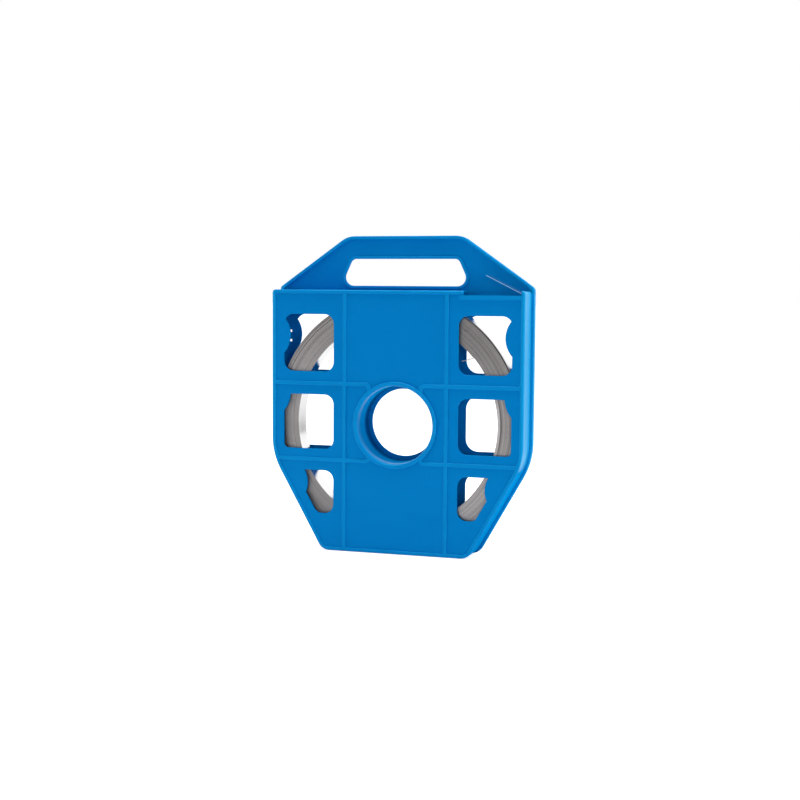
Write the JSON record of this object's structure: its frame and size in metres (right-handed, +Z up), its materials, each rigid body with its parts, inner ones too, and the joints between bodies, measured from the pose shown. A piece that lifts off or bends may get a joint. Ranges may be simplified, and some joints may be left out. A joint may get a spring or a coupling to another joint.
{
  "type": "steel strapping coil in dispenser case",
  "caption": "Coil of stainless steel strap held in a flat plastic case with a carrying handle, a hub hole, windows and an opening at the top right where the strap is drawn out.",
  "frame": {"origin": "middle of the footprint, on the level floor that the case stands on", "axes": "+X to the right seen from the front, +Y from the front half to the back, +Z up to the carrying handle"},
  "size_m": [0.2458, 0.0348, 0.2921],
  "materials": {
    "case_plastic": "blue, satin moulded",
    "strap_steel": "bright rolled"
  },
  "bodies": {
    "case": {"front_shell": "case_plastic", "rear_shell": "case_plastic", "strap_end": "strap_steel"},
    "coil": {"strap_coil": "strap_steel"}
  },
  "joints": [
    {"name": "coil_turn", "type": "hinge", "parent": "case", "child": "coil", "pos_m": [0, -0.00175, 0.1205], "axis": [0, 1, 0], "continuous": true}
  ]
}
